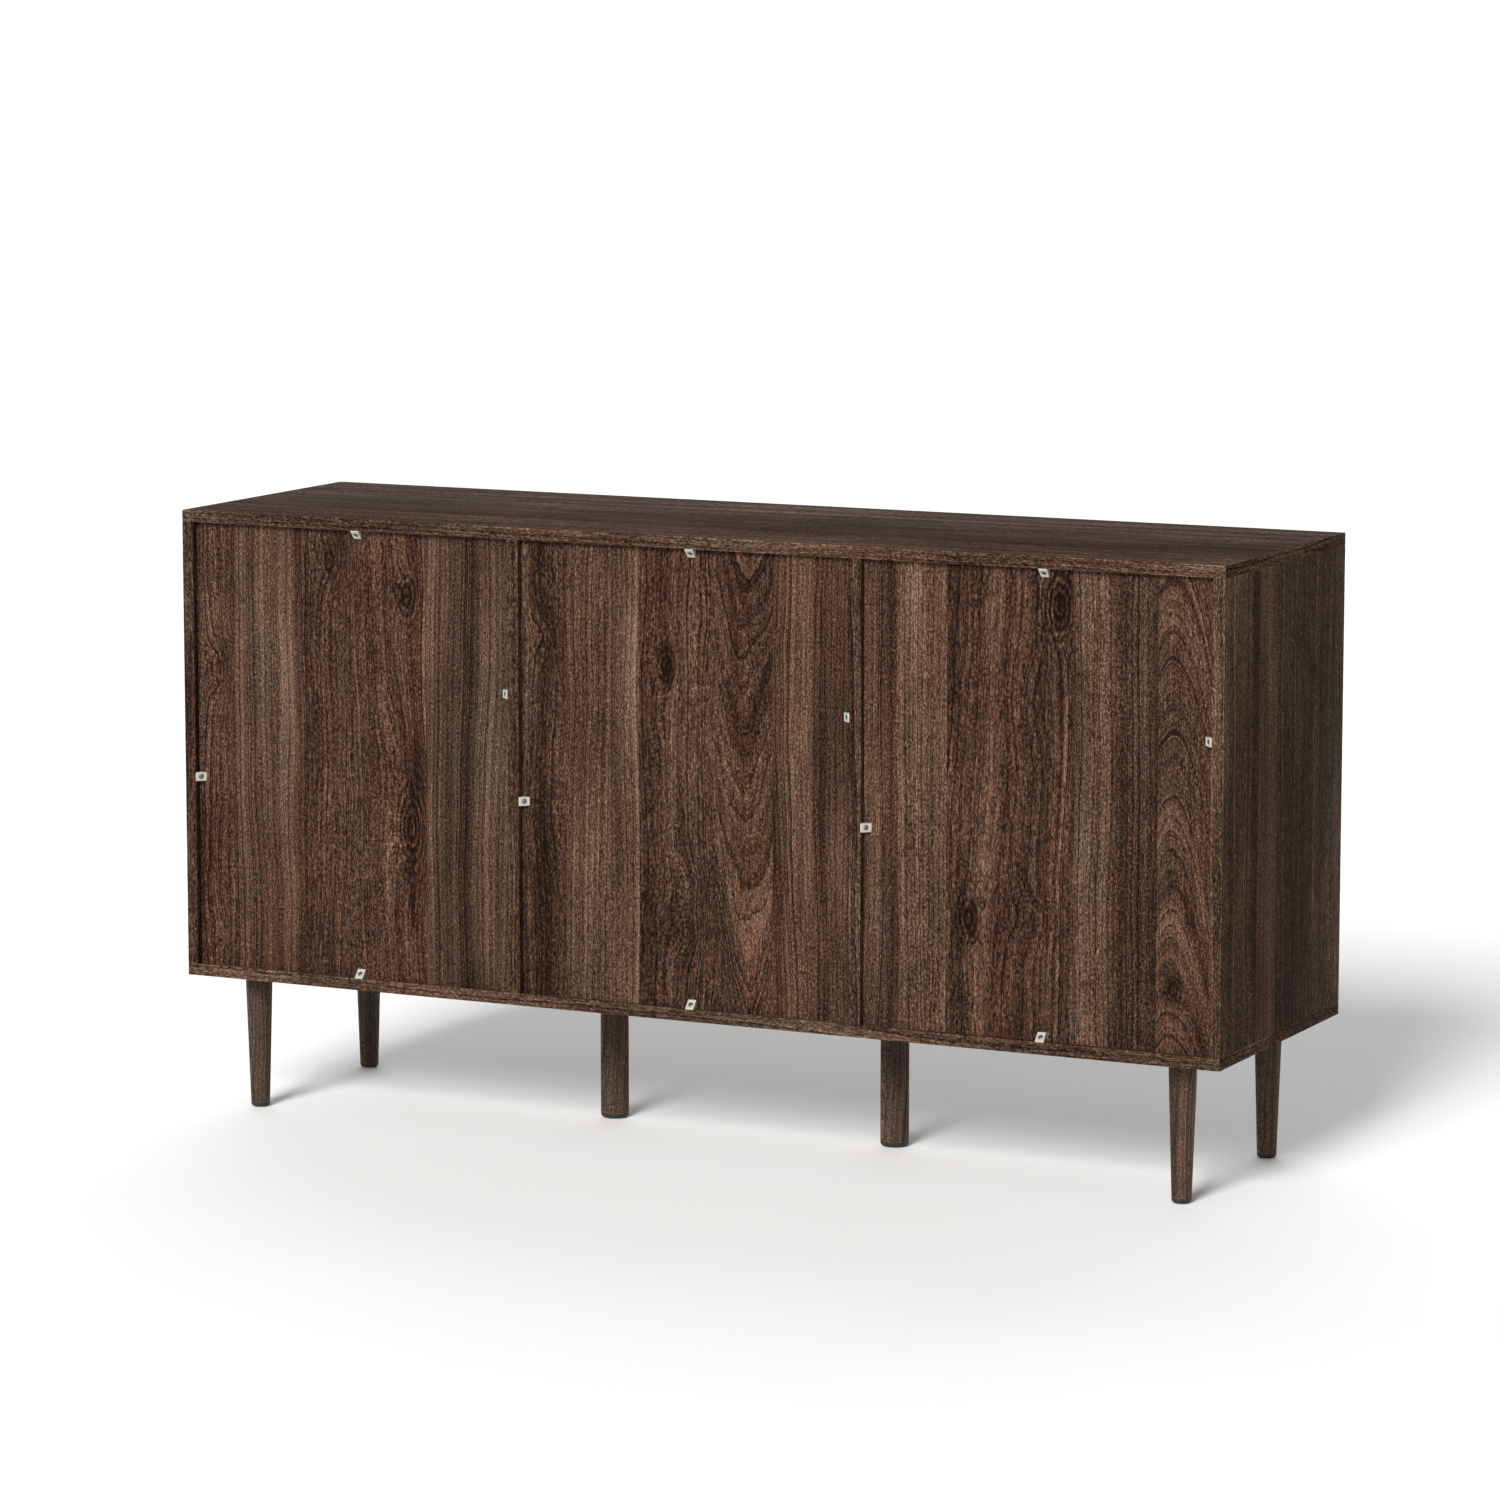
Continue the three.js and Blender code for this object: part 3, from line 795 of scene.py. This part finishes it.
def cut_cross(form, reach, width, depth):
    """A cross recess in the top of a screw's head, cut with a solid cross."""
    base = bpy.data.objects.new("screw_blank", bpy.data.meshes.new("screw_blank"))
    form.to_mesh(base.data)
    top = max(v.co.z for v in form.verts)
    form.free()
    cross = bmesh.new()
    add_box(cross, (-reach, -width, top - depth), (reach, width, top + depth))
    arm = bmesh.new()
    add_box(arm, (-width, -reach, top - depth), (width, reach, top + depth))
    scene = bpy.context.scene
    scene.collection.objects.link(base)
    cutters = []
    for index, tool in enumerate((cross, arm)):
        cutter = bpy.data.objects.new(f"screw_cutter_{index}", bpy.data.meshes.new("screw_cutter"))
        tool.to_mesh(cutter.data)
        tool.free()
        scene.collection.objects.link(cutter)
        boolean = base.modifiers.new("cut", "BOOLEAN")
        boolean.operation = "DIFFERENCE"
        boolean.solver = "EXACT"
        boolean.object = cutter
        cutters.append(cutter)
    bpy.context.view_layer.update()
    made = bpy.data.meshes.new_from_object(base.evaluated_get(bpy.context.evaluated_depsgraph_get()))
    for spare in (base, *cutters):
        bpy.data.objects.remove(spare)
    return made


def pan_head(radius, rise):
    """A domed screw head that stands on its face."""
    form = bmesh.new()
    dome = bent((radius, 0.35 * rise), (radius, rise), (0.45 * radius, rise), 5)
    profile = [(0, 0), (radius, 0), (radius, 0.35 * rise), *dome, (0, rise)]
    lathe(form, profile, SCREW_STEPS, Matrix.Identity(4))
    bmesh.ops.recalc_face_normals(form, faces=form.faces)
    return cut_cross(form, 0.62 * radius, 0.13 * radius, 0.6 * rise)


def flat_head(radius, rise):
    """A countersunk screw head, sunk but for its rise."""
    form = bmesh.new()
    profile = [(0, -FLAT_HEAD_DEPTH), (0.8 * radius, -FLAT_HEAD_DEPTH), (radius, 0.6 * rise),
               (0.96 * radius, rise), (0, rise)]
    lathe(form, profile, SCREW_STEPS, Matrix.Identity(4))
    bmesh.ops.recalc_face_normals(form, faces=form.faces)
    return cut_cross(form, 0.62 * radius, 0.12 * radius, 0.75 * FLAT_HEAD_DEPTH)


def add_copies(form, mesh, matrices):
    """Adds a copy of a mesh to a bmesh for each matrix."""
    for matrix in matrices:
        before = len(form.verts)
        form.from_mesh(mesh)
        form.verts.ensure_lookup_table()
        bmesh.ops.transform(form, matrix=matrix, verts=form.verts[before:])


# Legs, foot caps and knobs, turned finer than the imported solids

TURN_STEPS = 72
NEAR = 1e-4  # points this close to the end of a leg or cap lie on it


def axis_of(node):
    """The middle and the lowest and highest corners of a node."""
    low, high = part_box(node)
    return (low + high) / 2, low, high


def radius_where(node, passes):
    """The largest radius of an upright turned node, among its points whose height passes a test."""
    middle = axis_of(node)[0]
    vertices = frame["nodes"][node].data.vertices
    return max((v.co.xy - middle.xy).length for v in vertices if passes(v.co.z))


LEG_EDGE = 0.0006  # radius of a leg's end edges
LEG_RINGS = 8
CAP_ROUND = 0.005  # height over which a foot cap rounds in towards the floor
CAP_LIP = 0.0003


def add_leg(name):
    leg = f"leg_{name}"
    middle, low, high = axis_of(leg)
    bottom = radius_where(leg, lambda z: z < low.z + NEAR)
    top = radius_where(leg, lambda z: z > high.z - NEAR)
    edge = LEG_EDGE
    height = high.z - low.z
    profile = [(0, 0), (bottom - edge, 0)]
    profile += bent((bottom - edge, 0), (bottom, 0), (bottom, edge), 3)
    for ring in range(1, LEG_RINGS):
        profile.append((bottom + (top - bottom) * ring / LEG_RINGS,
                        edge + (height - 2 * edge) * ring / LEG_RINGS))
    profile += [(top, height - edge)]
    profile += bent((top, height - edge), (top, height), (top - edge, height), 3)
    profile += [(0, height)]
    form = bmesh.new()
    lathe(form, profile, TURN_STEPS, Matrix.Translation((middle.x, middle.y, low.z)))
    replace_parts(add_piece(f"turned_{leg}", form, "carcass", LEG_WALNUT), leg)


def add_foot_cap(name):
    cap = f"foot_cap_{name}"
    middle, low, high = axis_of(cap)
    radius = radius_where(cap, lambda z: True)
    floor_radius = radius_where(cap, lambda z: z < low.z + NEAR)
    height = high.z - low.z
    groove = [(0.6, 0), (0.62, CAP_LIP), (0.7, CAP_LIP), (0.72, 0), (1, 0)]
    profile = [(0, 0)] + [(floor_radius * share, rise) for share, rise in groove]
    profile += bent((floor_radius, 0), (radius, 0), (radius, CAP_ROUND), 9)
    profile += bent((radius, height - CAP_LIP), (radius, height), (radius - CAP_LIP, height), 2)
    profile += [(0, height)]
    form = bmesh.new()
    lathe(form, profile, TURN_STEPS, Matrix.Translation((middle.x, middle.y, low.z)))
    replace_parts(add_piece(f"moulded_{cap}", form, "carcass", BLACK_PLASTIC), cap)


KNOB_BASE = 0.008  # radius
KNOB_BASE_RISE = 0.002
KNOB_NECK = 0.005  # radius
KNOB_HEAD = 0.014  # radius
KNOB_HEAD_RISE = 0.008
KNOB_EDGE = 0.0004


def add_knob(bay):
    knob = f"knob_{bay}"
    middle, low, high = axis_of(knob)
    length = high.y - low.y
    base, rise, neck, head, edge = KNOB_BASE, KNOB_BASE_RISE, KNOB_NECK, KNOB_HEAD, KNOB_EDGE
    head_start = length - KNOB_HEAD_RISE
    neck_end = (rise + head_start) / 2
    brim = length - KNOB_HEAD_RISE / 2
    profile = [(0, 0), (base, 0), (base, rise - edge), (base - edge, rise)]
    profile += bent((base - edge, rise), (neck, rise), (neck, neck_end), 8)
    profile += bent((neck, neck_end), (neck, head_start), (head, brim), 12)
    profile += bent((head, brim), (head, length - 2 * edge), (head * 0.8, length - edge), 8)
    profile += [(head * 0.72, length - 0.5 * edge), (head * 0.70, length - 1.5 * edge),
                (head * 0.67, length - 1.5 * edge), (head * 0.65, length - 0.25 * edge),
                (head * 0.3, length), (0, length)]
    form = bmesh.new()
    lathe(form, profile, TURN_STEPS, pointing((middle.x, high.y, middle.z), (0, -1, 0)))
    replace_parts(add_piece(f"turned_{knob}", form, f"door_{bay}", BLACK_METAL), knob)


# Small fittings

SINK = 0.0001  # how far a fitting is let into the face that it sits on
CLIP_RECESS = (0.0061, 0.00555)  # middle of the clip's slope: away from its board, and out from the panel
CLIP_SLOPE = Vector((0.664, 0.748))  # outward normal of the slope, in the same two directions
CLIP_RECESS_DEPTH = 0.0016


def add_clip_screws(head):
    out = Vector((0, 1, 0))
    away_by_place = {"top": -UP, "bottom": UP, "low": Vector((-1, 0, 0)), "high": Vector((1, 0, 0))}
    for bay in BAYS:
        for place, away in away_by_place.items():
            node = f"back_clip_{bay}_{place}"
            middle, low, high = axis_of(node)
            board = Vector((low.x if away.x > 0 else high.x, low.y, low.z if away.z > 0 else high.z))
            seat = Vector((board.x if away.x else middle.x, low.y, board.z if away.z else middle.z))
            face = seat + away * CLIP_RECESS[0] + out * CLIP_RECESS[1]
            normal = (away * CLIP_SLOPE.x + out * CLIP_SLOPE.y).normalized()
            turn = Matrix.Rotation(0.4 + BAYS.index(bay) * 0.9 + len(place), 4, "Z")
            sunk = face - normal * (CLIP_RECESS_DEPTH - SINK / 2)
            form = bmesh.new()
            add_copies(form, head, [pointing(sunk, normal) @ turn])
            add_piece(f"screw_{node}", form, "carcass", SCREW_STEEL)


HINGE_SCREW_STEP = 0.015  # up and down from the hinge's middle
HINGE_SCREW_INSET = 0.006  # from the leaf's inner edge


def add_hinge_screws(head):
    for bay in BAYS:
        inward = -HINGE_SIDE[bay]
        for level in ("lower", "upper"):
            for leaf, body, side in (("frame_leaf", "carcass", inward),
                                     ("door_leaf", f"door_{bay}", -inward)):
                node = f"hinge_{bay}_{level}_{leaf}"
                middle, _, high = axis_of(node)
                places = []
                for step in (-HINGE_SCREW_STEP, HINGE_SCREW_STEP):
                    seat = (HINGE_LINE[bay] - side * SINK, high.y - HINGE_SCREW_INSET, middle.z + step)
                    turn = Matrix.Rotation(0.5 + step * 90, 4, "Z")
                    places.append(pointing(seat, (side, 0, 0)) @ turn)
                form = bmesh.new()
                add_copies(form, head, places)
                add_piece(f"screws_{node}", form, body, SCREW_STEEL)


def add_knob_screws(head):
    for bay in BAYS:
        middle = axis_of(f"knob_{bay}")[0]
        inner_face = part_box(f"door_{bay}")[1].y
        turn = Matrix.Rotation(0.3 + BAYS.index(bay) * 0.8, 4, "Z")
        form = bmesh.new()
        add_copies(form, head, [pointing((middle.x, inner_face - SINK, middle.z), (0, 1, 0)) @ turn])
        add_piece(f"screw_knob_{bay}", form, f"door_{bay}", SCREW_STEEL)


CATCH_FLANGE = 0.0025  # thickness
CATCH_SCREW_STEP = 0.018  # sideways from the catch's middle
STRIKE_SCREW_STEP = 0.013
POLE_STEP = 0.006
POLE_HALF_WIDTH = 0.001
POLE_PROUD = 0.0002
POLE_DEPTH = 0.003  # into the catch
POLE_GAPS = (0.0015, 0.001)  # below the plates, and above them to the flange


def add_catch_fittings(pan, flat):
    for bay in BAYS:
        middle, low, high = axis_of(f"catch_{bay}")
        underside = high.z - CATCH_FLANGE
        form = bmesh.new()
        add_copies(form, pan, [pointing((middle.x + step, middle.y, underside), (0, 0, -1))
                               for step in (-CATCH_SCREW_STEP, CATCH_SCREW_STEP)])
        add_piece(f"screws_catch_{bay}", form, "carcass", SCREW_STEEL)
        form = bmesh.new()
        for step in (-POLE_STEP, POLE_STEP):
            x = middle.x + step
            add_box(form, (x - POLE_HALF_WIDTH, low.y - POLE_PROUD, low.z + POLE_GAPS[0]),
                    (x + POLE_HALF_WIDTH, low.y + POLE_DEPTH, underside - POLE_GAPS[1]))
        bmesh.ops.bevel(form, geom=form.edges[:], offset=0.0002, segments=2, affect="EDGES")
        add_piece(f"pole_plates_{bay}", form, "carcass", STEEL)
        middle, _, high = axis_of(f"strike_{bay}")
        form = bmesh.new()
        add_copies(form, flat, [pointing((middle.x + step, high.y, middle.z), (0, 1, 0))
                                for step in (-STRIKE_SCREW_STEP, STRIKE_SCREW_STEP)])
        add_piece(f"screws_strike_{bay}", form, f"door_{bay}", SCREW_STEEL)


PIN_RADIUS = 0.0025
PIN_INSET = 0.04  # from the shelf's front and rear edges
PIN_PROFILE = [(0, -0.0001), (PIN_RADIUS, -0.0001), (PIN_RADIUS, 0.0068), (PIN_RADIUS - 0.0007, 0.0076),
               (PIN_RADIUS - 0.0014, 0.0079), (0, 0.008)]
SLEEVE_PROFILE = [(0, 0.00002), (0.0022, 0.00002), (0.0024, 0.0004), (0.0030, 0.0004), (0.0033, 0.0),
                  (0.0033, -0.0001), (0, -0.0001)]
HOLE_PITCH = 0.032
HOLE_ROWS = (-3, -2, -1, 1, 2, 3)  # above and below the shelf's own holes
SHELF_SHADE = 0.011  # a hole this near to the shelf's middle would be hidden by it
WALL_GAP = 0.00035  # from a shelf's end to the face of the wall beside it
CAM_PROFILE = [(0, -0.0001), (0.0085, -0.0001), (0.0085, 0.0004), (0.0081, 0.0008), (0.0040, 0.0010),
               (0.0036, 0.0007), (0.0030, 0.0007), (0.0026, 0.0010), (0, 0.0010)]
CAM_DISTANCE = 0.034  # from the top and bottom boards
CAM_INSETS = (0.025, 0.040)  # from the shelf's front and rear edges


def walls_of(bay):
    """(x, direction into the bay) of the two uprights beside a shelf."""
    low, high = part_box(f"shelf_{bay}")
    return (low.x - WALL_GAP, 1), (high.x + WALL_GAP, -1)


def add_shelf_fittings():
    for bay in BAYS:
        middle, low, high = axis_of(f"shelf_{bay}")
        level = low.z - PIN_RADIUS
        pins = bmesh.new()
        sleeves = bmesh.new()
        for wall, inward in walls_of(bay):
            for y in (low.y + PIN_INSET, high.y - PIN_INSET):
                lathe(pins, PIN_PROFILE, 24, pointing((wall, y, level - 0.00005), (inward, 0, 0)))
                for step in HOLE_ROWS:
                    z = level + step * HOLE_PITCH
                    if abs(z - middle.z) >= SHELF_SHADE:
                        lathe(sleeves, SLEEVE_PROFILE, 20, pointing((wall, y, z), (inward, 0, 0)))
        add_piece(f"shelf_pins_{bay}", pins, "carcass", STEEL)
        add_piece(f"pin_sleeves_{bay}", sleeves, "carcass", BLACK_PLASTIC)


def add_cam_covers():
    """Caps over the cam fittings that hold the uprights to the top and bottom boards."""
    heights = (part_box("bottom_board")[1].z + CAM_DISTANCE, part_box("top_board")[0].z - CAM_DISTANCE)
    for bay in BAYS:
        low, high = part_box(f"shelf_{bay}")
        form = bmesh.new()
        for wall, inward in walls_of(bay):
            for y in (low.y + CAM_INSETS[0], high.y - CAM_INSETS[1]):
                for z in heights:
                    lathe(form, CAM_PROFILE, 36, pointing((wall, y, z), (inward, 0, 0)))
        add_piece(f"cam_covers_{bay}", form, "carcass", BROWN_PLASTIC)


# Floor

FLOOR_DROP = 0.0005  # below the feet, so that their ends don't flicker in it


def add_floor():
    mesh = bpy.data.meshes.new("floor")
    form = bmesh.new()
    bmesh.ops.create_circle(form, cap_ends=True, radius=FLOOR_RADIUS, segments=128)
    form.to_mesh(mesh)
    form.free()
    floor = bpy.data.objects.new("floor", mesh)
    floor.location = (0, 0, -FLOOR_DROP)
    bpy.context.scene.collection.objects.link(floor)
    material, tree, shader = new_material("pale_floor")
    place = tree.nodes.new("ShaderNodeTexCoord")
    grain = noise(tree, vector(tree, *axes_of(tree, place.outputs["Object"])), scale=3.0, detail=4.0)
    colour = blend_colour(tree, grain, linear(236, 236, 236), linear(240, 240, 240))
    tree.links.new(colour.socket, shader.inputs["Base Color"])
    shader.inputs["Roughness"].default_value = 0.9
    shader.inputs["Specular IOR Level"].default_value = 0.1
    mesh.materials.append(material)


# By the start of a node's name: material (None where it has one by now), width and steps of its bevels
FINISHES = {
    "back_clip": (PALE_PLASTIC, 0.00035, 2),
    "hinge": (STEEL, 0, 0),
    "strike": (STEEL, 0.0003, 2),
    "catch": (BLACK_PLASTIC, 0.0004, 2),
    **dict.fromkeys(("top_board", "bottom_board", "side_panel", "divider", "shelf", "door"),
                    (None, 0.0008, 3)),
}


def dress_fittings():
    for name in frame["nodes"]:
        for start, (material, width, segments) in FINISHES.items():
            if not name.startswith(start):
                continue
            if material:
                dress(name, material)
            ease(name, width, segments)


add_camera()
add_light()
add_floor()
dress_boards()
dress_fittings()
for leg in ("front_left", "rear_left", "front_right", "rear_right", "middle_left", "middle_right"):
    add_leg(leg)
    add_foot_cap(leg)
for bay in BAYS:
    add_knob(bay)
add_clip_screws(pan_head(*CLIP_SCREW))
add_hinge_screws(flat_head(*HINGE_SCREW))
add_catch_fittings(pan_head(*CATCH_SCREW), flat_head(*STRIKE_SCREW))
add_knob_screws(pan_head(*KNOB_SCREW))
add_shelf_fittings()
add_cam_covers()
